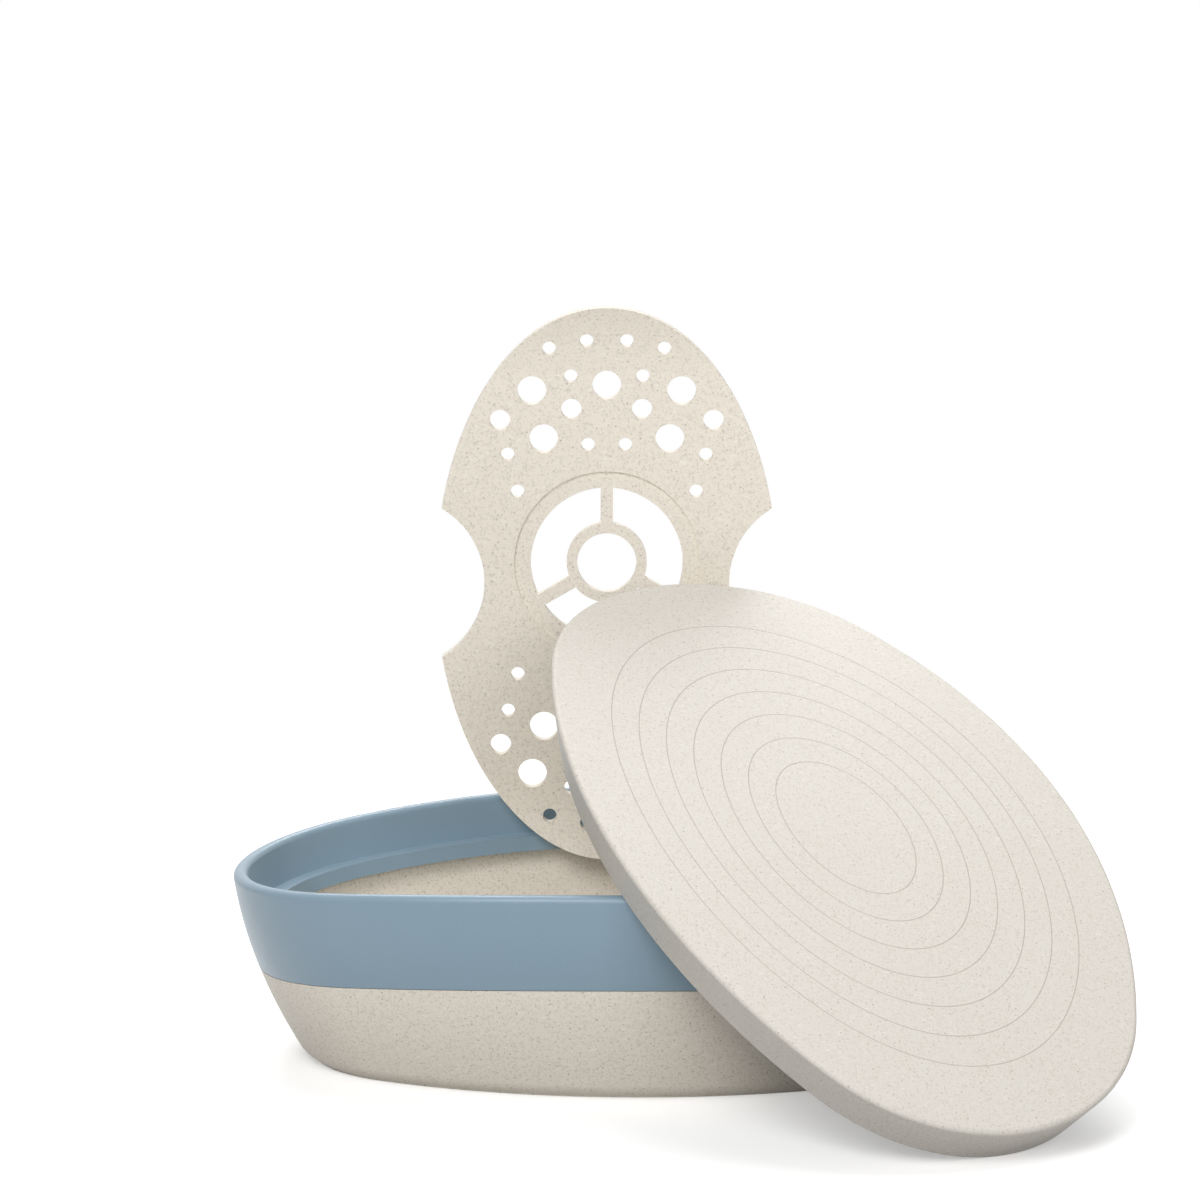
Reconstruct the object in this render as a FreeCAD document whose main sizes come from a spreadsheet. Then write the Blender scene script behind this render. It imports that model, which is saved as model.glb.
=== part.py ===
import FreeCAD, Part
import math
import os
import Sketcher
from FreeCAD import Placement, Rotation, Vector

# Travel soap box: bowl with a silicone sealing band, a drain insert stood upright in it
# and the lid leaning on it.
# Millimetres. The origin is the centre of the foot, X runs along the bowl, Y away from the viewer, Z up.

doc = FreeCAD.newDocument("travel_soap_box")
sheet = doc.addObject("Spreadsheet::Sheet", "Sizes")

SIZES = {
    # Bowl
    "oval_half_length": 58.0,
    "oval_half_width": 38.5,
    "oval_end_radius": 31.5,
    "rim_height": 31.0,
    "rim_drop": 4.4,
    "flare_above_rim": 3.0,
    "wall_flare": 11.0,
    "wall": 2.4,
    "floor_thickness": 2.6,
    "foot_round": 4.5,
    "floor_round": 5.0,
    # Sealing band
    "band_height": 13.8,
    "band_skin": 1.0,
    "band_fit": 0.1,
    "lip_thickness": 2.1,
    "lip_round": 0.95,
    "edge_depth": 6.7,
    "ledge_depth": 5.9,
    "ledge_inset": 4.9,
    "ledge_thickness": 2.1,
    # Lid
    "lid_inset": 1.8,
    "lid_depth": 7.6,
    "lid_taper": 3.0,
    "lid_plate": 2.0,
    "lid_skirt": 1.8,
    "lid_edge_round": 0.6,
    "lid_seat_gap": 0.3,
    # Drain insert
    "insert_half_length": 40.4,
    "insert_half_width": 24.8,
    "insert_thickness": 2.0,
    "bend_length": 10.4,
    "bend_radius": 25.0,
    "notch_radius": 12.7,
    "notch_depth": 7.1,
    "opening_radius": 11.0,
    "opening_shift": 2.9,
    "step_radius": 13.4,
    "step_depth": 0.4,
    "ring_radius": 5.8,
    "ring_width": 1.5,
    "spoke_width": 1.8,
    "fine_hole": 1.0,
    "middle_hole": 1.5,
    "coarse_hole": 2.1,
    "centre_hole_tip": 11.5,
    # Where the loose pieces stand
    "insert_shift": 4.6,
    "insert_tip_height": 22.0,
    "lean_gap": 0.3,
    "lid_stand_x": 28.3,
    "lid_roll_angle": 28.4,
    "lid_pitch_angle": 15.6,
    "lid_turn_angle": -62.9,
}

# Drain holes of one quarter: name, distance from the insert's tip, distance from its long axis, size
DRAIN_HOLES = (
    ("edge_wide", 6.1, 8.3, "fine_hole"),
    ("edge_close", 5.0, 2.9, "fine_hole"),
    ("outer_wide", 12.3, 10.8, "coarse_hole"),
    ("outer_fine", 10.2, 5.2, "fine_hole"),
    ("side_upper", 16.6, 15.4, "middle_hole"),
    ("inner_close", 15.0, 5.1, "middle_hole"),
    ("inner_wide", 19.3, 9.1, "coarse_hole"),
    ("inner_fine", 20.2, 2.7, "fine_hole"),
    ("side_middle", 21.6, 14.3, "fine_hole"),
    ("side_lower", 27.0, 12.9, "fine_hole"),
)

SPOKE_COUNT = 3
FLARE_STEPS = 4

# Construction allowances: past the solid and on a measured point
MARGIN = 5.0
TOUCH = 1e-3

# How finely the places of the loose pieces are found
HEIGHT_STEPS = 100
LIP_POINTS = 49
SETTLE_TRIES = 20
SETTLE_CLOSE = 0.01
LEAST_SLOPE = 0.5

# Derived lengths, as expressions on the sheet
FLARE_HEIGHT = "(Sizes.rim_height + Sizes.flare_above_rim)"
ARCH_RADIUS = "((Sizes.oval_half_length^2 + Sizes.rim_drop^2) / (2 * Sizes.rim_drop))"
LID_RISE = "(Sizes.lid_depth + Sizes.lid_seat_gap - Sizes.ledge_depth)"
LID_SLOPE = "(Sizes.lid_taper / Sizes.lid_depth)"

# Sketch numbering: the origin point, the axes, and the points of a line, arc or circle
ORIGIN_INDEX = (-1, 1)
X_AXIS_INDEX = -1
Y_AXIS_INDEX = -2
START_INDEX = 1
END_INDEX = 2
CENTRE_INDEX = 3


def fill_sheet():
    """Write every size into the sheet with its name as alias."""
    cells = dict(SIZES)
    for name, tip, side, kind in DRAIN_HOLES:
        cells[name + "_tip"] = tip
        cells[name + "_side"] = side
    for row, (name, value) in enumerate(cells.items(), start=1):
        sheet.set("A%d" % row, name)
        sheet.set("B%d" % row, str(value))
        sheet.setAlias("B%d" % row, name)
    doc.recompute()


def size(name):
    return float(getattr(sheet, name))


def bind(sketch, constraint, expression):
    """Add a driving constraint and tie it to the sheet."""
    index = sketch.addConstraint(constraint)
    sketch.setExpression("Constraints[%d]" % index, expression)


def place_point(sketch, geometry, position, x, y, x_text, y_text):
    """Fix a point by its distances from the origin; it lies on an axis where that text is None."""
    for kind, value, text, axis in (
            ("DistanceX", x, x_text, Y_AXIS_INDEX),
            ("DistanceY", y, y_text, X_AXIS_INDEX)):
        if text is None:
            sketch.addConstraint(Sketcher.Constraint("PointOnObject", geometry, position, axis))
        elif value > 0:
            bind(sketch, Sketcher.Constraint(kind, *ORIGIN_INDEX, geometry, position, value), text)
        else:
            bind(sketch, Sketcher.Constraint(kind, geometry, position, *ORIGIN_INDEX, -value), text)


def oval_centres(half_length):
    """Places of the end arcs' centre on X and the side arcs' centre on Y, and the side arcs' radius."""
    width = size("oval_half_width")
    end = size("oval_end_radius")
    side = ((half_length - end) ** 2 + width ** 2 - end ** 2) / (2 * (width - end))
    return half_length - end, side - width, side


def oval(name, longer, draw_in, height):
    """Level oval of four tangent arcs, as much longer each way and drawn in as the expressions say."""
    length_text = "(Sizes.oval_half_length + %s)" % longer
    end_text = "(%s - Sizes.oval_end_radius)" % length_text
    side_text = "((%s^2 + Sizes.oval_half_width^2 - Sizes.oval_end_radius^2)" % end_text
    side_text += " / (2 * (Sizes.oval_half_width - Sizes.oval_end_radius)))"
    span_text = "(%s - Sizes.oval_end_radius)" % side_text
    end_radius_text = "(Sizes.oval_end_radius - (%s))" % draw_in
    side_radius_text = "(%s - (%s))" % (side_text, draw_in)
    x_text = "%s * (1 + %s / %s)" % (end_text, end_radius_text, span_text)
    y_text = "%s * (%s - Sizes.oval_half_width) / %s" % (end_radius_text, side_text, span_text)

    end_radius = size("oval_end_radius")
    end_x, side_y, side_radius = oval_centres(size("oval_half_length"))
    lean = math.atan2(side_y, end_x)
    x = end_x + end_radius * math.cos(lean)
    y = end_radius * math.sin(lean)
    sketch = doc.addObject("Sketcher::SketchObject", name)
    sketch.setExpression("Placement.Base.z", height)
    arcs = []
    for centre_x, centre_y, radius, radius_text, first, last, start_x, start_y in (
            (end_x, 0.0, end_radius, end_radius_text, -lean, lean, x, -y),
            (0.0, -side_y, side_radius, side_radius_text, lean, math.pi - lean, x, y),
            (-end_x, 0.0, end_radius, end_radius_text, math.pi - lean, math.pi + lean, -x, y),
            (0.0, side_y, side_radius, side_radius_text, math.pi + lean, 2 * math.pi - lean, -x, -y)):
        circle = Part.Circle(Vector(centre_x, centre_y, 0), Vector(0, 0, 1), radius)
        arc = sketch.addGeometry(Part.ArcOfCircle(circle, first, last), False)
        bind(sketch, Sketcher.Constraint("Radius", arc, radius), radius_text)
        place_point(sketch, arc, START_INDEX, start_x, start_y, x_text, y_text)
        arcs.append(arc)
    for arc, following in zip(arcs, arcs[1:] + arcs[:1]):
        sketch.addConstraint(Sketcher.Constraint("Coincident", arc, END_INDEX, following, START_INDEX))
    return sketch


def loft(name, ovals, straight):
    solid = doc.addObject("Part::Loft", name)
    solid.Sections = ovals
    solid.Solid = True
    solid.Ruled = straight
    return solid


def flare(name, inset):
    """Bowl-shaped solid whose side follows the outer wall, drawn in by an inset."""
    ovals = []
    for step in range(FLARE_STEPS + 1):
        share = step / FLARE_STEPS
        draw_in = "Sizes.wall_flare * (1 - %s)^2 + %s" % (share, inset)
        height = "%s * %s" % (FLARE_HEIGHT, share)
        ovals.append(oval("%s_oval_%d" % (name, step), "0", draw_in, height))
    return loft(name, ovals, False)


def drum(name, depth):
    """Lying cylinder whose top follows the arched rim, a depth below it."""
    cylinder = doc.addObject("Part::Cylinder", name)
    cylinder.Placement = Placement(Vector(0, 0, 0), Rotation(Vector(1, 0, 0), -90))
    cylinder.setExpression("Radius", "%s - (%s)" % (ARCH_RADIUS, depth))
    cylinder.setExpression("Height", "2 * (Sizes.oval_half_width + %s)" % MARGIN)
    cylinder.setExpression("Placement.Base.y", "-Sizes.oval_half_width - %s" % MARGIN)
    cylinder.setExpression("Placement.Base.z", "Sizes.rim_height - " + ARCH_RADIUS)
    return cylinder


def cut(name, base, tool):
    result = doc.addObject("Part::Cut", name)
    result.Base = base
    result.Tool = tool
    return result


def common(name, *shapes):
    result = doc.addObject("Part::MultiCommon", name)
    result.Shapes = list(shapes)
    return result


def fuse(name, *shapes):
    result = doc.addObject("Part::MultiFuse", name)
    result.Shapes = list(shapes)
    return result


def rounded(name, base, radius, on_edge):
    """Round every edge of a solid whose points all pass a test."""
    doc.recompute()
    chosen = []
    for number, edge in enumerate(base.Shape.Edges, start=1):
        if all(on_edge(point) for point in edge.discretize(9)):
            chosen.append((number, radius, radius))
    result = doc.addObject("Part::Fillet", name)
    result.Base = base
    result.Edges = chosen
    return result


def at_height(height):
    return lambda point: abs(point.z - height) < TOUCH


def arch_radius():
    return (size("oval_half_length") ** 2 + size("rim_drop") ** 2) / (2 * size("rim_drop"))


def arch_height(x, depth):
    """Height of the arched surface at a depth below the rim."""
    radius = arch_radius()
    return size("rim_height") - radius + math.sqrt((radius - depth) ** 2 - x ** 2)


def on_arch(depth):
    """Test for points on the arched surface at a depth below the rim."""
    return lambda point: abs(point.z - arch_height(point.x, depth)) < TOUCH


def wall_draw_in(height, inset):
    """How far the wall's oval at a height lies inside the full oval, with an inset added."""
    share = height / (size("rim_height") + size("flare_above_rim"))
    return size("wall_flare") * (1 - share) ** 2 + inset


def wall_point(angle, height, inset):
    """Level place on the wall where it faces an angle from the X axis."""
    draw_in = wall_draw_in(height, inset)
    end_x, side_y, side_radius = oval_centres(size("oval_half_length"))
    ahead = math.cos(angle)
    across = math.sin(angle)
    if abs(ahead) * math.hypot(end_x, side_y) > end_x:
        radius = size("oval_end_radius") - draw_in
        return math.copysign(end_x, ahead) + radius * ahead, radius * across
    radius = side_radius - draw_in
    return radius * ahead, radius * across - math.copysign(side_y, across)


def wall_half_width(x, height, inset):
    """Half width between the walls at a place along the bowl."""
    draw_in = wall_draw_in(height, inset)
    end_x, side_y, side_radius = oval_centres(size("oval_half_length"))
    end_radius = size("oval_end_radius") - draw_in
    if abs(x) > end_x * (1 + end_radius / math.hypot(end_x, side_y)):
        return math.sqrt(end_radius ** 2 - (abs(x) - end_x) ** 2)
    return math.sqrt((side_radius - draw_in) ** 2 - x ** 2) - side_y


def make_bowl():
    """Flared tray; its upper edge is thinned on the outside for the band."""
    outer = rounded("bowl_outer", flare("bowl_flare", "0"), size("foot_round"), at_height(0.0))
    body = common("bowl_body", outer, drum("band_step", "Sizes.band_height"))
    neck = common("bowl_neck", flare("neck_flare", "Sizes.band_skin"), drum("edge_arch", "Sizes.edge_depth"))
    floor_block = doc.addObject("Part::Box", "floor_block")
    floor_block.setExpression("Length", "2 * Sizes.oval_half_length")
    floor_block.setExpression("Width", "2 * Sizes.oval_half_width")
    floor_block.setExpression("Height", "Sizes.floor_thickness")
    floor_block.setExpression("Placement.Base.x", "-Sizes.oval_half_length")
    floor_block.setExpression("Placement.Base.y", "-Sizes.oval_half_width")
    hollow = cut("bowl_hollow", flare("hollow_flare", "Sizes.wall"), floor_block)
    soft_hollow = rounded("soft_hollow", hollow, size("floor_round"), at_height(size("floor_thickness")))
    return cut("bowl", fuse("bowl_solid", body, neck), soft_hollow)


def make_band():
    """Silicone band: outer leg, rounded lip and an inner ledge, moulded round the bowl's edge."""
    block = cut(
        "band_block",
        common("band_cap", flare("band_flare", "0"), drum("rim_arch", "0")),
        drum("band_foot", "Sizes.band_height - Sizes.band_fit"),
    )
    groove = cut(
        "band_groove",
        common(
            "groove_outer",
            flare("groove_flare", "Sizes.band_skin - Sizes.band_fit"),
            drum("groove_top", "Sizes.edge_depth - Sizes.band_fit"),
        ),
        flare("groove_inner", "Sizes.wall + Sizes.band_fit"),
    )
    mouth = cut(
        "band_mouth",
        flare("mouth_flare", "Sizes.lip_thickness"),
        drum("ledge_arch", "Sizes.ledge_depth"),
    )
    below_ledge = common(
        "below_ledge",
        flare("leg_flare", "Sizes.wall + Sizes.band_fit"),
        drum("ledge_under", "Sizes.ledge_depth + Sizes.ledge_thickness"),
    )
    sharp = block
    for tool in (groove, mouth, below_ledge, flare("ledge_flare", "Sizes.ledge_inset")):
        sharp = cut("band_less_" + tool.Name, sharp, tool)
    return rounded("sealing_band", sharp, size("lip_round"), on_arch(0.0))


def lid_cone(name, inset):
    """Tapered oval block of the lid; its outline reaches the lid's size at the arched top edge."""
    top = "(Sizes.rim_height + %s)" % LID_RISE
    low = "(Sizes.rim_height - Sizes.rim_drop - Sizes.ledge_depth - %s)" % MARGIN
    high = "(%s + %s)" % (top, MARGIN)
    longer = "%s * Sizes.rim_drop" % LID_SLOPE
    ovals = []
    for label, height in (("low", low), ("high", high)):
        draw_in = "Sizes.lid_inset + %s + %s * (%s - %s)" % (inset, LID_SLOPE, top, height)
        ovals.append(oval("%s_%s" % (name, label), longer, draw_in, height))
    return loft(name, ovals, True)


def make_lid():
    """Arched plate with a tapered skirt, in its closed place on the band's ledge."""
    block = cut(
        "lid_block",
        common("lid_cap", lid_cone("lid_cone", "0"), drum("lid_top", "-" + LID_RISE)),
        drum("lid_foot", "Sizes.lid_depth - " + LID_RISE),
    )
    hollow = common(
        "lid_hollow",
        lid_cone("lid_inner_cone", "Sizes.lid_skirt"),
        drum("lid_under", "Sizes.lid_plate - " + LID_RISE),
    )
    soft_block = rounded("lid_soft_block", block, size("lid_edge_round"), on_arch(-lid_rise()))
    return cut("lid", soft_block, hollow)


def lid_rise():
    return size("lid_depth") + size("lid_seat_gap") - size("ledge_depth")


def new_sketch(body, name, role):
    plane = [feature for feature in body.Origin.OriginFeatures if feature.Role == role][0]
    sketch = body.newObject("Sketcher::SketchObject", name)
    sketch.AttachmentSupport = [(plane, "")]
    sketch.MapMode = "FlatFace"
    return sketch


def add_circle(sketch, x, y, radius, x_text, y_text, radius_text):
    circle = sketch.addGeometry(Part.Circle(Vector(x, y, 0), Vector(0, 0, 1), radius), False)
    bind(sketch, Sketcher.Constraint("Radius", circle, radius), radius_text)
    place_point(sketch, circle, CENTRE_INDEX, x, y, x_text, y_text)
    return circle


def strip_sketch(body):
    """Side view of the plate: flat between two ends that bend up."""
    sketch = new_sketch(body, "strip_profile", "XZ_Plane")
    thick = size("insert_thickness")
    radius = size("bend_radius")
    flat = size("insert_half_length") - size("bend_length")
    over = size("bend_length") + MARGIN
    flat_text = "Sizes.insert_half_length - Sizes.bend_length"
    reach_text = "Sizes.insert_half_length + %s" % MARGIN
    over_text = "(Sizes.bend_length + %s)" % MARGIN
    levels = []
    for arc_radius, radius_text in ((radius + thick, "(Sizes.bend_radius + Sizes.insert_thickness)"),
                                    (radius, "Sizes.bend_radius")):
        height = thick + radius - math.sqrt(arc_radius ** 2 - over ** 2)
        text = "Sizes.insert_thickness + Sizes.bend_radius - sqrt(%s^2 - %s^2)" % (radius_text, over_text)
        levels.append((arc_radius, radius_text, height, text))

    faces = []
    for base, base_text, (arc_radius, radius_text, height, height_text) in zip(
            (0.0, thick), (None, "Sizes.insert_thickness"), levels):
        line = sketch.addGeometry(Part.LineSegment(Vector(-flat, base, 0), Vector(flat, base, 0)), False)
        place_point(sketch, line, START_INDEX, -flat, base, flat_text, base_text)
        place_point(sketch, line, END_INDEX, flat, base, flat_text, base_text)
        sweep = math.asin(over / arc_radius)
        down = -math.pi / 2
        arcs = []
        for side, first, last in ((-1, down - sweep, down), (1, down, down + sweep)):
            circle = Part.Circle(Vector(side * flat, thick + radius, 0), Vector(0, 0, 1), arc_radius)
            arc = sketch.addGeometry(Part.ArcOfCircle(circle, first, last), False)
            inner, outer = (END_INDEX, START_INDEX) if side < 0 else (START_INDEX, END_INDEX)
            sketch.addConstraint(Sketcher.Constraint("Coincident", arc, inner, line, outer))
            bind(sketch, Sketcher.Constraint("Radius", arc, arc_radius), radius_text)
            place_point(sketch, arc, outer, side * (flat + over), height, reach_text, height_text)
            arcs.append((arc, outer, Vector(side * (flat + over), height, 0)))
        faces.append(arcs)
    for (low, low_end, low_point), (high, high_end, high_point) in zip(*faces):
        edge = sketch.addGeometry(Part.LineSegment(low_point, high_point), False)
        sketch.addConstraint(Sketcher.Constraint("Coincident", edge, START_INDEX, low, low_end))
        sketch.addConstraint(Sketcher.Constraint("Coincident", edge, END_INDEX, high, high_end))
    return sketch


def outline_sketch(body):
    """Everything outside the insert's oval, out to a circle round it."""
    sketch = new_sketch(body, "oval_outline", "XY_Plane")
    length = size("insert_half_length")
    width = size("insert_half_width")
    shape = Part.Ellipse(Vector(length, 0, 0), Vector(0, width, 0), Vector(0, 0, 0))
    oval = sketch.addGeometry(shape, False)
    sketch.exposeInternalGeometry(oval)
    sketch.addConstraint(Sketcher.Constraint("Coincident", oval, CENTRE_INDEX, *ORIGIN_INDEX))
    long_axis = oval + 1
    short_axis = oval + 2
    sketch.addConstraint(Sketcher.Constraint("Horizontal", long_axis))
    bind(sketch, Sketcher.Constraint("Distance", long_axis, 2 * length), "2 * Sizes.insert_half_length")
    bind(sketch, Sketcher.Constraint("Distance", short_axis, 2 * width), "2 * Sizes.insert_half_width")
    surround = sketch.addGeometry(Part.Circle(Vector(0, 0, 0), Vector(0, 0, 1), 2 * length), False)
    sketch.addConstraint(Sketcher.Constraint("Coincident", surround, CENTRE_INDEX, *ORIGIN_INDEX))
    bind(sketch, Sketcher.Constraint("Radius", surround, 2 * length), "2 * Sizes.insert_half_length")
    return sketch


def notch_sketch(body):
    """Finger notch on each long side."""
    sketch = new_sketch(body, "notches", "XY_Plane")
    radius = size("notch_radius")
    out = size("insert_half_width") - size("notch_depth") + radius
    out_text = "Sizes.insert_half_width - Sizes.notch_depth + Sizes.notch_radius"
    for side in (-1, 1):
        add_circle(sketch, 0.0, side * out, radius, None, out_text, "Sizes.notch_radius")
    return sketch


def opening_circles(body, name, *radii):
    """Circles about the centre of the round opening; each radius is its first size less the others."""
    sketch = new_sketch(body, name, "XY_Plane")
    for names in radii:
        radius = size(names[0]) - sum(size(part) for part in names[1:])
        text = " - ".join("Sizes." + part for part in names)
        add_circle(sketch, size("opening_shift"), 0.0, radius, "Sizes.opening_shift", None, text)
    return sketch


def spoke_sketch(body):
    """Bar from the opening's centre into its edge; the sketch's origin is that centre."""
    sketch = new_sketch(body, "spoke_bar", "XY_Plane")
    sketch.setExpression("AttachmentOffset.Base.x", "Sizes.opening_shift")
    half = size("spoke_width") / 2
    end = (size("opening_radius") + size("step_radius")) / 2
    half_text = "Sizes.spoke_width / 2"
    end_text = "(Sizes.opening_radius + Sizes.step_radius) / 2"
    corners = ((0.0, -half, None), (end, -half, end_text), (end, half, end_text), (0.0, half, None))
    lines = []
    for (x, y, x_text), (next_x, next_y, next_text) in zip(corners, corners[1:] + corners[:1]):
        line = sketch.addGeometry(Part.LineSegment(Vector(x, y, 0), Vector(next_x, next_y, 0)), False)
        place_point(sketch, line, START_INDEX, x, y, x_text, half_text)
        lines.append(line)
    for line, following in zip(lines, lines[1:] + lines[:1]):
        sketch.addConstraint(Sketcher.Constraint("Coincident", line, END_INDEX, following, START_INDEX))
    return sketch


def drain_sketch(body):
    """Drain holes of one quarter of the plate."""
    sketch = new_sketch(body, "quarter_holes", "XY_Plane")
    for name, tip, side, kind in DRAIN_HOLES:
        x = size("insert_half_length") - size(name + "_tip")
        x_text = "Sizes.insert_half_length - Sizes.%s_tip" % name
        side_text = "Sizes.%s_side" % name
        add_circle(sketch, x, size(name + "_side"), size(kind), x_text, side_text, "Sizes." + kind)
    return sketch


def centre_hole_sketch(body):
    """Drain hole on the long axis."""
    sketch = new_sketch(body, "centre_hole_circle", "XY_Plane")
    x = size("insert_half_length") - size("centre_hole_tip")
    x_text = "Sizes.insert_half_length - Sizes.centre_hole_tip"
    add_circle(sketch, x, 0.0, size("coarse_hole"), x_text, None, "Sizes.coarse_hole")
    return sketch


def pad(body, name, sketch, length, sides):
    feature = body.newObject("PartDesign::Pad", name)
    feature.Profile = sketch
    feature.SideType = sides
    feature.setExpression("Length", length)
    doc.recompute()
    return feature


def cut_through(body, name, sketch):
    feature = body.newObject("PartDesign::Pocket", name)
    feature.Profile = sketch
    feature.Type = "ThroughAll"
    feature.SideType = "Symmetric"
    before = body.Shape.Volume
    doc.recompute()
    if not body.Shape.Volume < before:
        raise RuntimeError(name + " cut nothing")
    return feature


def mirrored(body, name, feature, roles):
    """Repeat a cut on the other side of one or two of the body's planes."""
    pattern = body.newObject("PartDesign::MultiTransform", name)
    mirrors = []
    for role in roles:
        mirror = doc.addObject("PartDesign::Mirrored", name + "_" + role)
        mirror.MirrorPlane = ([plane for plane in body.Origin.OriginFeatures if plane.Role == role][0], [""])
        mirrors.append(mirror)
    pattern.Originals = [feature]
    pattern.Transformations = mirrors
    body.Tip = pattern
    doc.recompute()


def make_insert():
    """Perforated oval plate with bent-up ends, finger notches and a ring on spokes in its round opening."""
    body = doc.addObject("PartDesign::Body", "drain_insert")
    pad(body, "plate", strip_sketch(body), "2 * (Sizes.insert_half_width + %s)" % MARGIN, "Symmetric")
    cut_through(body, "outline_cut", outline_sketch(body))
    cut_through(body, "notch_cut", notch_sketch(body))

    step_circle = opening_circles(body, "step_circle", ["step_radius"])
    step_circle.setExpression("AttachmentOffset.Base.z", "Sizes.insert_thickness")
    step_cut = body.newObject("PartDesign::Pocket", "step_cut")
    step_cut.Profile = step_circle
    step_cut.setExpression("Length", "Sizes.step_depth")
    doc.recompute()
    cut_through(body, "opening_cut", opening_circles(body, "opening_circle", ["opening_radius"]))

    ring_height = "Sizes.insert_thickness - Sizes.step_depth"
    spoke_bar = spoke_sketch(body)
    spoke = pad(body, "spoke", spoke_bar, ring_height, "One side")
    spokes = body.newObject("PartDesign::PolarPattern", "spokes")
    spokes.Originals = [spoke]
    spokes.Axis = (spoke_bar, ["N_Axis"])
    spokes.Angle = 360
    spokes.Occurrences = SPOKE_COUNT
    body.Tip = spokes
    doc.recompute()
    ring_circles = opening_circles(body, "ring_circles", ["ring_radius"], ["ring_radius", "ring_width"])
    pad(body, "ring", ring_circles, ring_height, "One side")
    cut_through(body, "hub_cut", opening_circles(body, "hub_circle", ["ring_radius", "ring_width"]))

    quarter_cut = cut_through(body, "quarter_cut", drain_sketch(body))
    mirrored(body, "drain_holes", quarter_cut, ("XZ_Plane", "YZ_Plane"))
    centre_cut = cut_through(body, "centre_cut", centre_hole_sketch(body))
    mirrored(body, "centre_holes", centre_cut, ("YZ_Plane",))
    return body


def stand_insert(insert):
    """Upright behind the middle of the bowl, back just clear of the band, bent ends towards the viewer."""
    middle = size("insert_tip_height") + size("insert_half_length")
    flat = size("insert_half_length") - size("bend_length")
    bend = size("bend_radius") + size("insert_thickness")
    room = []
    below_rim = size("rim_height") - size("insert_tip_height")
    for step in range(1, HEIGHT_STEPS + 1):
        along = size("insert_half_length") - below_rim * step / HEIGHT_STEPS
        chord = size("insert_half_width") * math.sqrt(1 - (along / size("insert_half_length")) ** 2)
        x = size("insert_shift") + chord
        depth = arch_height(x, 0.0) - (middle - along)
        if depth < size("ledge_depth"):
            inset = size("lip_thickness")
        elif depth < size("ledge_depth") + size("ledge_thickness"):
            inset = size("ledge_inset")
        else:
            inset = size("wall")
        half_width = wall_half_width(x, middle - along, inset)
        bent = bend - math.sqrt(bend ** 2 - max(along - flat, 0.0) ** 2)
        room.append(half_width + bent)
    upright = Rotation(Vector(0, 0, 1), Vector(-1, 0, 0), Vector(0, -1, 0), "ZXY")
    back = min(room) - size("lean_gap")
    insert.Placement = Placement(Vector(-size("insert_shift"), back, middle), upright)


def lip_core():
    """Curve inside the front half of the band's lip, about which its outer edge is rounded."""
    depth = size("lip_round")
    points = []
    for number in range(LIP_POINTS):
        angle = -math.pi * number / (LIP_POINTS - 1)
        height = size("rim_height") - depth
        for attempt in range(SETTLE_TRIES):
            x, y = wall_point(angle, height, depth)
            height = arch_height(x, depth)
        points.append(Vector(x, y, height))
    curve = Part.BSplineCurve()
    curve.interpolate(points)
    return curve.toShape()


def lean_lid(lid):
    """Lowest edge on the floor in front of the bowl, underside just clear of the band's lip."""
    turn = Rotation(Vector(1, 0, 0), size("lid_roll_angle"))
    turn = turn * Rotation(Vector(0, 1, 0), size("lid_pitch_angle"))
    turn = turn * Rotation(Vector(0, 0, 1), size("lid_turn_angle"))
    pivot = Placement(Vector(0, 0, -size("rim_height") - lid_rise()), Rotation())
    lid.Placement = Placement(Vector(0, 0, 0), turn) * pivot
    floor_z = -lid.Shape.optimalBoundingBox(False).ZMin
    lip = lip_core()

    def room(y):
        lid.Placement = Placement(Vector(size("lid_stand_x"), y, floor_z), turn) * pivot
        return lid.Shape.distToShape(lip)[0] - size("lip_round") - size("lean_gap")

    near = -1.5 * size("oval_half_width")
    near_room = room(near)
    y = near + near_room
    for attempt in range(SETTLE_TRIES):
        y_room = room(y)
        if abs(y_room) < SETTLE_CLOSE:
            return
        slope = max((near_room - y_room) / (y - near), LEAST_SLOPE)
        near, near_room = y, y_room
        y = y + y_room / slope
    raise RuntimeError("the lid found no place on the lip")


def check_document(pieces):
    for item in doc.Objects:
        if "Invalid" in item.State or "Error" in item.State:
            raise RuntimeError(item.Name + " failed: " + str(item.State))
    for piece in pieces:
        shape = piece.Shape
        if shape.isNull() or not shape.isValid() or len(shape.Solids) != 1:
            raise RuntimeError(piece.Label + " is not one sound solid")


def main():
    fill_sheet()
    bowl = make_bowl()
    band = make_band()
    insert = make_insert()
    lid = make_lid()
    doc.recompute()
    stand_insert(insert)
    lean_lid(lid)
    pieces = (bowl, band, insert, lid)
    check_document(pieces)
    os.makedirs("parts", exist_ok=True)
    for piece in pieces:
        piece.Shape.exportStep("parts/%s.step" % piece.Label)
        box = piece.Shape.optimalBoundingBox(False)
        print(piece.Label, "volume %.1f" % piece.Shape.Volume,
              "from %.1f %.1f %.1f" % (box.XMin, box.YMin, box.ZMin),
              "to %.1f %.1f %.1f" % (box.XMax, box.YMax, box.ZMax))


main()
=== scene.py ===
import math

import bmesh
import bpy
from mathutils import Euler, Matrix, Vector


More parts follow.
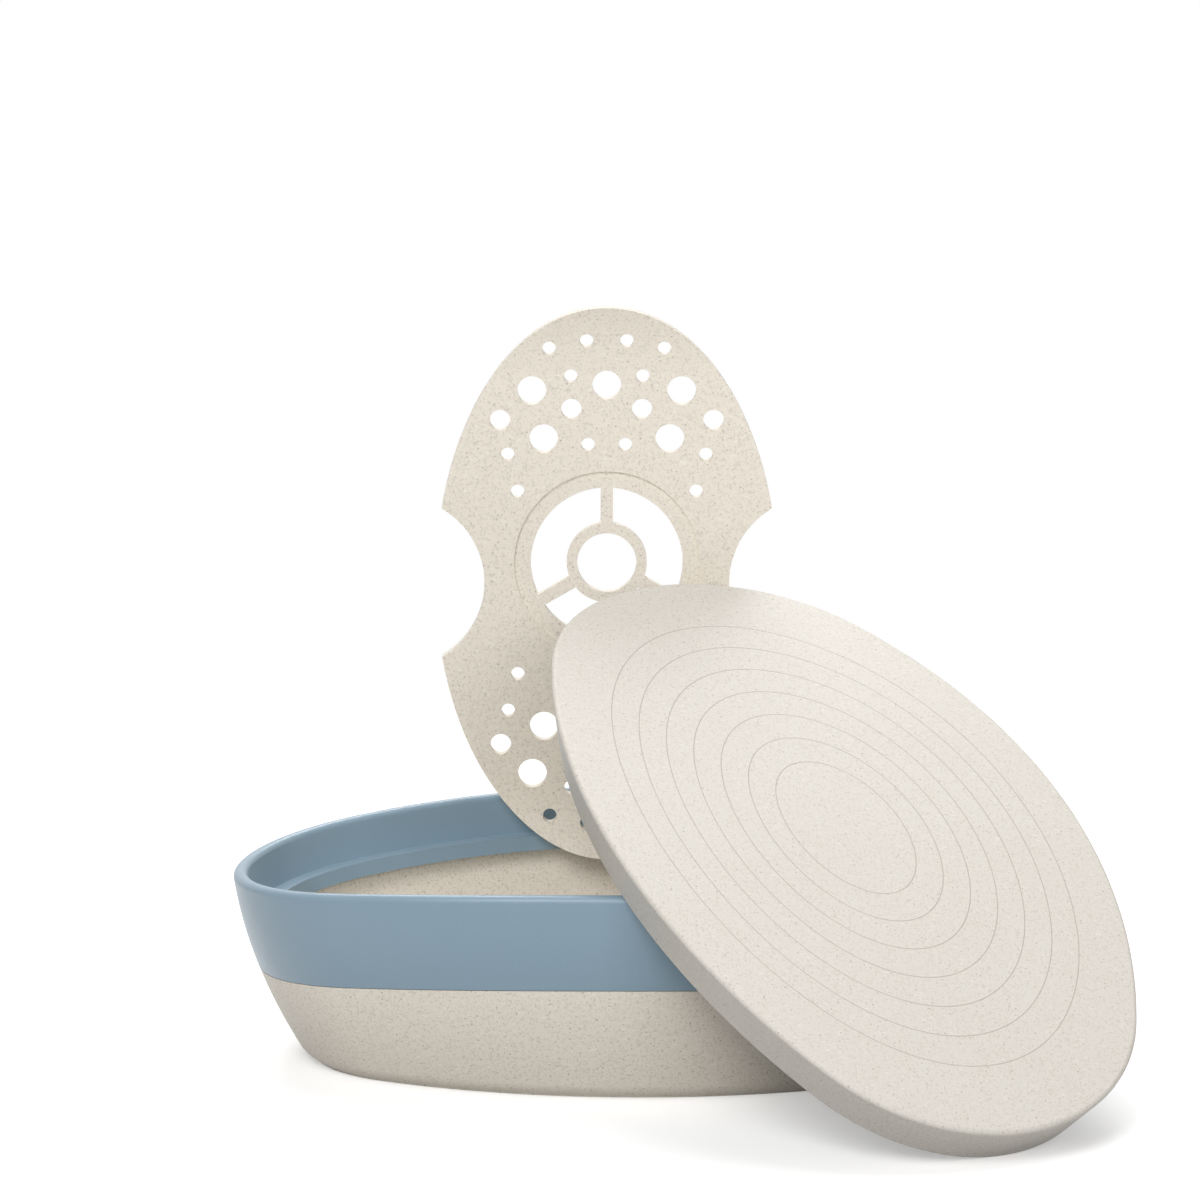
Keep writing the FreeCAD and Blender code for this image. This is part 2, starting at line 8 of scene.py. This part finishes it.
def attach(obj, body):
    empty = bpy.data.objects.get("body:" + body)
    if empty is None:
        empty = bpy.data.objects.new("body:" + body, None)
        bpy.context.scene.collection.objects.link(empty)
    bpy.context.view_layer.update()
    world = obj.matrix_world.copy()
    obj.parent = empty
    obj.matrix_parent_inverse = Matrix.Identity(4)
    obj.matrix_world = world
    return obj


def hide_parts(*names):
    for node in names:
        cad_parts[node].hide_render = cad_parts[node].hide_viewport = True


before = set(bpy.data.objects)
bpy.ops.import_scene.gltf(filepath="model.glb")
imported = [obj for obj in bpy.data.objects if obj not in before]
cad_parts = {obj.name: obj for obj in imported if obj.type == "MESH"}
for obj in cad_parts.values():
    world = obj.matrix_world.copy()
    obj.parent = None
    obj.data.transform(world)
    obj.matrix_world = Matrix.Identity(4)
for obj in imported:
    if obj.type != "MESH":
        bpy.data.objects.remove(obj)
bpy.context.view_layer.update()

MM = 0.001

# View of the photograph: a long lens, square on to the bowl and a little above it
IMAGE_PIXELS = 1200
VIEW_TARGET = Vector((-5.58, 0.0, 65.25)) * MM
VIEW_ELEVATION = math.radians(10.02)
VIEW_DISTANCE = 1.0
VIEW_FOCAL_PIXELS = 7118.8
SENSOR_WIDTH = 36.0
CLIP_START = 0.01

# Place of the leaning lid and the arch of its top
LID_ROLL = Euler((math.radians(28.4), 0, 0)).to_matrix()
LID_PITCH = Euler((0, math.radians(15.6), 0)).to_matrix()
LID_SPIN = Euler((0, 0, math.radians(-62.9))).to_matrix()
LID_TURN = LID_ROLL @ LID_PITCH @ LID_SPIN
LID_ARCH_RADIUS = 386.47 * MM
LID_HALF_LENGTH = 56.2 * MM
LID_HALF_WIDTH = 36.7 * MM

# Fine oval lines on the lid: shares of its outline, and how deep the line's round section lies
LINE_COUNT = 7
LINE_INNER_SHARE = 0.24
LINE_OUTER_SHARE = 0.80
LINE_RADIUS = 0.12 * MM
LINE_SINK = 0.09 * MM
LINE_POINTS = 160
LINE_SIDES = 8

# Eased edges of the moulded pieces
BOWL_EDGE = 0.45 * MM
BAND_EDGE = 0.35 * MM
INSERT_EDGE = 0.35 * MM
EDGE_SEGMENTS = 3
EDGE_ANGLE = math.radians(45)
FLAT_ANGLE = math.radians(0.05)
JOIN_DISTANCE = 2e-6

# Finishes
SPOT_CORE = 0.35
PICK_EDGE = 0.02
BUMP_STRENGTH = 0.5
BUMP_DETAIL = 3.0
ROUGH_PATCH_GRAINS = 6
FIBRE_STRETCH = (0.35, 1.0, 1.0)
FIBRE_TURNS = (0.3, 1.5, 2.6)
PLASTIC_SPECULAR = 0.35
SILICONE_SPECULAR = 0.5
SILICONE_SHEEN = 0.08
SILICONE_SHEEN_ROUGHNESS = 0.5

# Studio: the surround's light, the floor, and the lamps with their power, size and place
SURROUND_STRENGTH = 0.13
WHITE = (1, 1, 1, 1)
FLOOR_HALF = 6
FLOOR_ROUGHNESS = 0.9
FLOOR_SPECULAR = 0.1
FLOOR_LIFT = 0.34
SHADOW_FADE_START = 0.10
SHADOW_FADE_END = 0.32
LAMP_TARGET = Vector((0, 0, 0.05))
LAMPS = (
    ("low_front_softbox", 7.5, (1.0, 0.6), (0.32, -1.42, 0.5)),
    ("high_left_softbox", 11.2, (0.8, 0.8), (-0.5, -1.1, 1.0)),
    ("overhead_softbox", 4.2, (0.9, 0.6), (0.1, 0.15, 1.2)),
    ("back_softbox", 9.0, (0.9, 0.6), (0.0, 0.9, 1.0)),
)


def linear(red, green, blue):
    """Shader colour of an 8-bit screen colour."""
    values = []
    for level in (red, green, blue):
        share = level / 255
        values.append(share / 12.92 if share <= 0.04045 else ((share + 0.055) / 1.055) ** 2.4)
    return (*values, 1.0)


class Finish:
    """Node material of one surface, built up from a few kinds of detail."""

    def __init__(self, name):
        self.material = bpy.data.materials.new(name)
        self.material.use_nodes = True
        self.tree = self.material.node_tree
        self.shader = self.tree.nodes["Principled BSDF"]
        self.place = self.add("ShaderNodeTexCoord").outputs["Object"]

    def add(self, kind, **settings):
        node = self.tree.nodes.new(kind)
        for key, value in settings.items():
            setattr(node, key, value)
        return node

    def join(self, output, socket):
        self.tree.links.new(output, socket)

    def product(self, first, second):
        """Product of an output and another output or a number."""
        node = self.add("ShaderNodeMath", operation="MULTIPLY")
        self.join(first, node.inputs[0])
        if isinstance(second, bpy.types.NodeSocket):
            self.join(second, node.inputs[1])
        else:
            node.inputs[1].default_value = second
        return node.outputs["Value"]

    def stretched(self, stretch, turn):
        """Coordinates for flecks that are longer one way."""
        mapping = self.add("ShaderNodeMapping")
        self.join(self.place, mapping.inputs["Vector"])
        mapping.inputs["Rotation"].default_value = turn
        mapping.inputs["Scale"].default_value = stretch
        return mapping.outputs["Vector"]

    def ramp(self, value, stops):
        ramp = self.add("ShaderNodeValToRGB")
        ramp.color_ramp.interpolation = "EASE"
        while len(ramp.color_ramp.elements) < len(stops):
            ramp.color_ramp.elements.new(0.5)
        for element, (position, level) in zip(ramp.color_ramp.elements, stops):
            element.position = position
            element.color = (level, level, level, 1.0)
        self.join(value, ramp.inputs["Fac"])
        return ramp.outputs["Color"]

    def clouds(self, size, detail=2.0):
        """Soft variation with patches of about a size."""
        noise = self.add("ShaderNodeTexNoise")
        noise.inputs["Scale"].default_value = 1 / size
        noise.inputs["Detail"].default_value = detail
        self.join(self.place, noise.inputs["Vector"])
        return noise.outputs["Fac"]

    def specks(self, spacing, radius, kept, place=None):
        """Small soft spots, one to a cell of the spacing, in a share of the cells."""
        cells = self.add("ShaderNodeTexVoronoi")
        cells.inputs["Scale"].default_value = 1 / spacing
        self.join(self.place if place is None else place, cells.inputs["Vector"])
        edge = radius / spacing
        spot = self.ramp(cells.outputs["Distance"], ((edge * SPOT_CORE, 1.0), (edge, 0.0)))
        split = self.add("ShaderNodeSeparateColor")
        self.join(cells.outputs["Color"], split.inputs["Color"])
        stops = ((kept, 1.0), (min(kept + PICK_EDGE, 1.0), 0.0))
        return self.product(spot, self.ramp(split.outputs["Red"], stops))

    def grain(self, size, first, full):
        """Uneven fine grains: the parts of a fine variation that lie above a level."""
        return self.ramp(self.clouds(size), ((first, 0.0), (full, 1.0)))

    def tint(self, colour, factor, other, strength):
        """Colour with another laid over it by a factor, at most at a strength."""
        mix = self.add("ShaderNodeMix", data_type="RGBA")
        self.join(self.product(factor, strength), mix.inputs["Factor"])
        if isinstance(colour, tuple):
            mix.inputs["A"].default_value = colour
        else:
            self.join(colour, mix.inputs["A"])
        mix.inputs["B"].default_value = other
        return mix.outputs["Result"]

    def surface(self, colour, low_rough, high_rough, grain, depth):
        """Colour, uneven roughness and a fine moulded grain."""
        self.join(colour, self.shader.inputs["Base Color"])
        spread = self.add("ShaderNodeMapRange")
        self.join(self.clouds(grain * ROUGH_PATCH_GRAINS), spread.inputs["Value"])
        spread.inputs["To Min"].default_value = low_rough
        spread.inputs["To Max"].default_value = high_rough
        self.join(spread.outputs["Result"], self.shader.inputs["Roughness"])
        bump = self.add("ShaderNodeBump")
        bump.inputs["Strength"].default_value = BUMP_STRENGTH
        bump.inputs["Distance"].default_value = depth
        self.join(self.clouds(grain, BUMP_DETAIL), bump.inputs["Height"])
        self.join(bump.outputs["Normal"], self.shader.inputs["Normal"])


def plant_fibre(finish, colour, pale, grey, brown, dark):
    """Plant-fibre grain over a colour: pale fibres, fine grey and brown grains, dark specks."""
    for turn in FIBRE_TURNS:
        along = finish.stretched(FIBRE_STRETCH, (turn * 0.6, turn * 0.35, turn))
        fibres = finish.specks(spacing=1.1 * MM, radius=0.24 * MM, kept=0.5, place=along)
        colour = finish.tint(colour, fibres, pale, strength=0.5)
    grey_grains = finish.grain(size=0.55 * MM, first=0.50, full=0.72)
    colour = finish.tint(colour, grey_grains, grey, strength=0.36)
    brown_grains = finish.grain(size=0.30 * MM, first=0.54, full=0.70)
    colour = finish.tint(colour, brown_grains, brown, strength=0.40)
    brown_specks = finish.specks(spacing=0.6 * MM, radius=0.16 * MM, kept=0.45)
    colour = finish.tint(colour, brown_specks, brown, strength=0.5)
    dark_specks = finish.specks(spacing=0.9 * MM, radius=0.16 * MM, kept=0.55)
    return finish.tint(colour, dark_specks, dark, strength=0.6)


def beige_plastic():
    """Beige plant-fibre plastic of the bowl."""
    finish = Finish("speckled_beige_plastic")
    patches = finish.clouds(14 * MM)
    colour = finish.tint(linear(240, 233, 221), patches, linear(233, 225, 211), strength=0.7)
    colour = plant_fibre(finish, colour, pale=linear(249, 244, 235), grey=linear(206, 196, 180),
                         brown=linear(178, 163, 141), dark=linear(124, 111, 95))
    finish.surface(colour, low_rough=0.44, high_rough=0.54, grain=0.6 * MM, depth=0.03 * MM)
    finish.shader.inputs["Specular IOR Level"].default_value = PLASTIC_SPECULAR
    return finish.material


def cream_plastic(name, light, shade, pale):
    """Paler plant-fibre plastic of the lid and the insert."""
    finish = Finish(name)
    colour = finish.tint(light, finish.clouds(16 * MM), shade, strength=0.7)
    colour = plant_fibre(finish, colour, pale, grey=linear(199, 192, 181),
                         brown=linear(184, 174, 160), dark=linear(136, 127, 114))
    finish.surface(colour, low_rough=0.44, high_rough=0.54, grain=0.55 * MM, depth=0.025 * MM)
    finish.shader.inputs["Specular IOR Level"].default_value = PLASTIC_SPECULAR
    return finish.material


def blue_silicone():
    """Matte muted blue silicone with a faint bloom."""
    finish = Finish("muted_blue_silicone")
    patches = finish.clouds(9 * MM)
    colour = finish.tint(linear(136, 160, 176), patches, linear(130, 154, 170), strength=0.6)
    bloom = finish.specks(spacing=0.9 * MM, radius=0.2 * MM, kept=0.5)
    colour = finish.tint(colour, bloom, linear(152, 175, 190), strength=0.25)
    finish.surface(colour, low_rough=0.30, high_rough=0.37, grain=0.35 * MM, depth=0.010 * MM)
    finish.shader.inputs["Specular IOR Level"].default_value = SILICONE_SPECULAR
    finish.shader.inputs["Sheen Weight"].default_value = SILICONE_SHEEN
    finish.shader.inputs["Sheen Roughness"].default_value = SILICONE_SHEEN_ROUGHNESS
    return finish.material


def painted_groove_shade():
    """Grey of the fine lines on the lid: painted shade standing for the shadow in their grooves."""
    finish = Finish("engraved_line_painted_shade")
    patches = finish.clouds(2 * MM)
    colour = finish.tint(linear(176, 170, 161), patches, linear(196, 190, 181), strength=0.8)
    finish.surface(colour, low_rough=0.5, high_rough=0.65, grain=0.3 * MM, depth=0.01 * MM)
    return finish.material


def seen_directly(tree):
    """1 where the camera sees a thing straight, in a reflection or through glass, and else 0."""
    path = tree.nodes.new("ShaderNodeLightPath")
    seen = path.outputs["Is Camera Ray"]
    for kind in ("Is Glossy Ray", "Is Transmission Ray"):
        either = tree.nodes.new("ShaderNodeMath")
        either.operation = "MAXIMUM"
        tree.links.new(seen, either.inputs[0])
        tree.links.new(path.outputs[kind], either.inputs[1])
        seen = either.outputs["Value"]
    return seen


def pale_floor():
    """Pale floor: it keeps the object's soft shadow near it and is plain white further off."""
    finish = Finish("pale_floor")
    seen = seen_directly(finish.tree)
    colour = finish.tint(linear(184, 184, 184), seen, linear(250, 250, 250), strength=1.0)
    finish.join(colour, finish.shader.inputs["Base Color"])
    finish.shader.inputs["Roughness"].default_value = FLOOR_ROUGHNESS
    finish.shader.inputs["Specular IOR Level"].default_value = FLOOR_SPECULAR
    finish.shader.inputs["Emission Color"].default_value = WHITE
    finish.join(finish.product(seen, FLOOR_LIFT), finish.shader.inputs["Emission Strength"])

    reach = finish.add("ShaderNodeVectorMath", operation="LENGTH")
    finish.join(finish.place, reach.inputs[0])
    away = finish.add("ShaderNodeMapRange", interpolation_type="SMOOTHSTEP")
    away.inputs["From Min"].default_value = SHADOW_FADE_START
    away.inputs["From Max"].default_value = SHADOW_FADE_END
    finish.join(reach.outputs["Value"], away.inputs["Value"])
    white = finish.add("ShaderNodeEmission")
    white.inputs["Strength"].default_value = 1.0
    mix = finish.add("ShaderNodeMixShader")
    finish.join(finish.product(away.outputs["Result"], seen), mix.inputs["Fac"])
    finish.join(finish.shader.outputs["BSDF"], mix.inputs[1])
    finish.join(white.outputs["Emission"], mix.inputs[2])
    finish.join(mix.outputs["Shader"], finish.tree.nodes["Material Output"].inputs["Surface"])
    return finish.material


def set_material(piece, material):
    piece.data.materials.clear()
    piece.data.materials.append(material)


def new_piece(name, mesh):
    piece = bpy.data.objects.new(name, mesh)
    bpy.context.scene.collection.objects.link(piece)
    return piece


def shaped_mesh(piece, name):
    """Plain mesh of a piece as its modifiers shape it."""
    graph = bpy.context.evaluated_depsgraph_get()
    mesh = bpy.data.meshes.new_from_object(piece.evaluated_get(graph), depsgraph=graph)
    mesh.name = name
    return mesh


def lid_place():
    """Matrix to the lid's leaning place from its own frame, whose origin is the top's middle."""
    back = LID_TURN.transposed()
    points = [back @ vertex.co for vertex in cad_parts["lid"].data.vertices]
    low = [min(point[axis] for point in points) for axis in range(3)]
    high = [max(point[axis] for point in points) for axis in range(3)]
    middle = Vector(((low[0] + high[0]) / 2, (low[1] + high[1]) / 2, high[2]))
    return Matrix.Translation(LID_TURN @ middle) @ LID_TURN.to_4x4()


class NodeTree:
    """Geometry Nodes tree with named inputs, and the piece that it makes."""

    def __init__(self, name, inputs):
        self.tree = bpy.data.node_groups.new(name, "GeometryNodeTree")
        sockets = self.tree.interface
        sockets.new_socket("Geometry", in_out="INPUT", socket_type="NodeSocketGeometry")
        self.values = {}
        for label, (kind, value) in inputs.items():
            socket = sockets.new_socket(label, in_out="INPUT", socket_type=kind)
            self.values[socket.identifier] = value
        sockets.new_socket("Geometry", in_out="OUTPUT", socket_type="NodeSocketGeometry")
        self.source = self.tree.nodes.new("NodeGroupInput").outputs
        self.result = self.tree.nodes.new("NodeGroupOutput").inputs["Geometry"]

    def add(self, kind, links=None, **settings):
        """Node with its settings; links give each input an output to join or a value."""
        node = self.tree.nodes.new(kind)
        for key, value in settings.items():
            setattr(node, key, value)
        for key, value in (links or {}).items():
            if isinstance(value, bpy.types.NodeSocket):
                self.tree.links.new(value, node.inputs[key])
            else:
                node.inputs[key].default_value = value
        return node

    def math(self, operation, first, second=0.0):
        node = self.add("ShaderNodeMath", {0: first, 1: second}, operation=operation)
        return node.outputs["Value"]

    def close(self, geometry, material):
        """End the tree in Realize Instances and Set Material."""
        real = self.add("GeometryNodeRealizeInstances", {"Geometry": geometry})
        last = self.add("GeometryNodeSetMaterial", {
            "Geometry": real.outputs["Geometry"], "Material": material,
        })
        self.tree.links.new(last.outputs["Geometry"], self.result)

    def make(self, name, place):
        """Plain mesh piece from the tree, set in its place."""
        carrier = new_piece(name + "_carrier", bpy.data.meshes.new(name + "_carrier"))
        modifier = carrier.modifiers.new("shape", "NODES")
        modifier.node_group = self.tree
        for identifier, value in self.values.items():
            modifier[identifier] = value
        mesh = shaped_mesh(carrier, name)
        carrier.modifiers.remove(modifier)
        bpy.data.objects.remove(carrier)
        mesh.transform(place)
        return new_piece(name, mesh)


def lid_lines(material):
    """Fine concentric ovals let into the arched top of the lid."""
    nodes = NodeTree("engraved_ovals", {
        "Line count": ("NodeSocketInt", LINE_COUNT),
        "Inner share": ("NodeSocketFloat", LINE_INNER_SHARE),
        "Outer share": ("NodeSocketFloat", LINE_OUTER_SHARE),
        "Half length": ("NodeSocketFloat", LID_HALF_LENGTH),
        "Half width": ("NodeSocketFloat", LID_HALF_WIDTH),
        "Arch radius": ("NodeSocketFloat", LID_ARCH_RADIUS),
        "Line radius": ("NodeSocketFloat", LINE_RADIUS),
        "Line sink": ("NodeSocketFloat", LINE_SINK),
    })
    given = nodes.source

    # One oval to each point, scaled to its share of the lid's outline
    points = nodes.add("GeometryNodeMeshLine", {
        "Count": given["Line count"], "Offset": (0, 0, 0),
    }, mode="OFFSET")
    index = nodes.add("GeometryNodeInputIndex").outputs["Index"]
    step = nodes.math("DIVIDE", index, nodes.math("SUBTRACT", given["Line count"], 1.0))
    spread = nodes.math("SUBTRACT", given["Outer share"], given["Inner share"])
    share = nodes.math("ADD", nodes.math("MULTIPLY", step, spread), given["Inner share"])
    scale = nodes.add("ShaderNodeCombineXYZ", {
        "X": nodes.math("MULTIPLY", share, given["Half length"]),
        "Y": nodes.math("MULTIPLY", share, given["Half width"]),
        "Z": 1.0,
    })
    oval = nodes.add("GeometryNodeCurvePrimitiveCircle", {
        "Resolution": LINE_POINTS, "Radius": 1.0,
    })
    ovals = nodes.add("GeometryNodeInstanceOnPoints", {
        "Points": points.outputs["Mesh"],
        "Instance": oval.outputs["Curve"],
        "Scale": scale.outputs["Vector"],
    })
    curves = nodes.add("GeometryNodeRealizeInstances", {"Geometry": ovals.outputs["Instances"]})

    # Laid on the arch of the lid's top and sunk a little
    spot = nodes.add("GeometryNodeInputPosition").outputs["Position"]
    x = nodes.add("ShaderNodeSeparateXYZ", {"Vector": spot}).outputs["X"]
    arch_square = nodes.math("POWER", given["Arch radius"], 2.0)
    height = nodes.math("SQRT", nodes.math("SUBTRACT", arch_square, nodes.math("POWER", x, 2.0)))
    drop = nodes.math("SUBTRACT", height, given["Arch radius"])
    lift = nodes.add("ShaderNodeCombineXYZ", {
        "Z": nodes.math("SUBTRACT", drop, given["Line sink"]),
    })
    laid = nodes.add("GeometryNodeSetPosition", {
        "Geometry": curves.outputs["Geometry"], "Offset": lift.outputs["Vector"],
    })
    profile = nodes.add("GeometryNodeCurvePrimitiveCircle", {
        "Resolution": LINE_SIDES, "Radius": given["Line radius"],
    })
    tube = nodes.add("GeometryNodeCurveToMesh", {
        "Curve": laid.outputs["Geometry"], "Profile Curve": profile.outputs["Curve"],
    })
    nodes.close(tube.outputs["Mesh"], material)
    return nodes.make("lid_engraved_ovals", lid_place())


def eased(node_name, width, material):
    """Copy of a CAD piece with its sharp edges and hole rims eased, as a moulding has them."""
    name = "moulded_" + node_name
    work = bmesh.new()
    work.from_mesh(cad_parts[node_name].data)
    bmesh.ops.remove_doubles(work, verts=work.verts, dist=JOIN_DISTANCE)
    bmesh.ops.dissolve_limit(work, angle_limit=FLAT_ANGLE, verts=work.verts, edges=work.edges)
    mesh = bpy.data.meshes.new(name + "_sharp")
    work.to_mesh(mesh)
    work.free()
    mesh.shade_smooth()
    mesh.set_sharp_from_angle(angle=EDGE_ANGLE)
    piece = new_piece(name, mesh)
    ease = piece.modifiers.new("eased_edges", "BEVEL")
    ease.width = width
    ease.segments = EDGE_SEGMENTS
    ease.limit_method = "ANGLE"
    ease.angle_limit = EDGE_ANGLE
    even = piece.modifiers.new("even_shading", "WEIGHTED_NORMAL")
    even.mode = "FACE_AREA"
    even.keep_sharp = True
    soft = shaped_mesh(piece, name)
    piece.modifiers.clear()
    piece.data = soft
    set_material(piece, material)
    return piece


def lamp(name, power, size, place):
    light = bpy.data.lights.new(name, "AREA")
    light.energy = power
    light.shape = "RECTANGLE"
    light.size, light.size_y = size
    stand = bpy.data.objects.new(name, light)
    stand.location = place
    stand.rotation_euler = (LAMP_TARGET - Vector(place)).to_track_quat("-Z", "Y").to_euler()
    bpy.context.scene.collection.objects.link(stand)


def white_surround():
    """Even soft light from all round, which is plain white where it is seen."""
    world = bpy.data.worlds.new("white_surround")
    bpy.context.scene.world = world
    world.use_nodes = True
    tree = world.node_tree
    light = tree.nodes["Background"]
    light.inputs["Color"].default_value = WHITE
    light.inputs["Strength"].default_value = SURROUND_STRENGTH
    white = tree.nodes.new("ShaderNodeBackground")
    white.inputs["Color"].default_value = WHITE
    white.inputs["Strength"].default_value = 1.0
    mix = tree.nodes.new("ShaderNodeMixShader")
    tree.links.new(seen_directly(tree), mix.inputs["Fac"])
    tree.links.new(light.outputs["Background"], mix.inputs[1])
    tree.links.new(white.outputs["Background"], mix.inputs[2])
    tree.links.new(mix.outputs["Shader"], tree.nodes["World Output"].inputs["Surface"])


def studio():
    """Pale floor, white surround, and soft lamps in front, on the left, overhead and behind."""
    mesh = bpy.data.meshes.new("studio_floor")
    corners = [(x * FLOOR_HALF, y * FLOOR_HALF, 0) for x, y in ((-1, -1), (1, -1), (1, 1), (-1, 1))]
    mesh.from_pydata(corners, [], [(0, 1, 2, 3)])
    floor = new_piece("studio_floor", mesh)
    set_material(floor, pale_floor())
    white_surround()
    for name, power, size, place in LAMPS:
        lamp(name, power, size, place)


def photo_camera():
    """Camera at the photograph's viewing angle."""
    lens = bpy.data.cameras.new("photo_camera")
    lens.sensor_width = SENSOR_WIDTH
    lens.sensor_fit = "HORIZONTAL"
    lens.lens = VIEW_FOCAL_PIXELS / IMAGE_PIXELS * SENSOR_WIDTH
    lens.clip_start = CLIP_START
    camera = bpy.data.objects.new("photo_camera", lens)
    back = Vector((0, -math.cos(VIEW_ELEVATION), math.sin(VIEW_ELEVATION)))
    camera.location = VIEW_TARGET + VIEW_DISTANCE * back
    camera.rotation_euler = (math.pi / 2 - VIEW_ELEVATION, 0, 0)
    bpy.context.scene.collection.objects.link(camera)
    bpy.context.scene.camera = camera


def dress():
    """Pieces with their finishes; the moulded copies and the lid's lines each ride on their body.
    """
    # The lid is the insert's plastic given darker colours: painted shade that offsets the stronger
    # light on its upturned top.
    lid_shaded_cream = cream_plastic("speckled_lid_plastic_painted_shade", light=linear(223, 218, 209),
                              shade=linear(217, 211, 202), pale=linear(234, 229, 221))
    insert_cream = cream_plastic("speckled_insert_plastic", light=linear(240, 233, 220),
                                 shade=linear(235, 227, 213), pale=linear(248, 243, 233))
    set_material(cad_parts["lid"], lid_shaded_cream)
    for node_name, body, width, material in (
            ("bowl", "base", BOWL_EDGE, beige_plastic()),
            ("sealing_band", "base", BAND_EDGE, blue_silicone()),
            ("drain_insert", "insert", INSERT_EDGE, insert_cream)):
        piece = eased(node_name, width, material)
        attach(piece, body)
        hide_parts(node_name)
    # The lines' grey is painted shade for the shadow in their grooves.
    lines = lid_lines(painted_groove_shade())
    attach(lines, "lid")


bpy.context.scene.view_settings.view_transform = "Standard"
photo_camera()
studio()
dress()
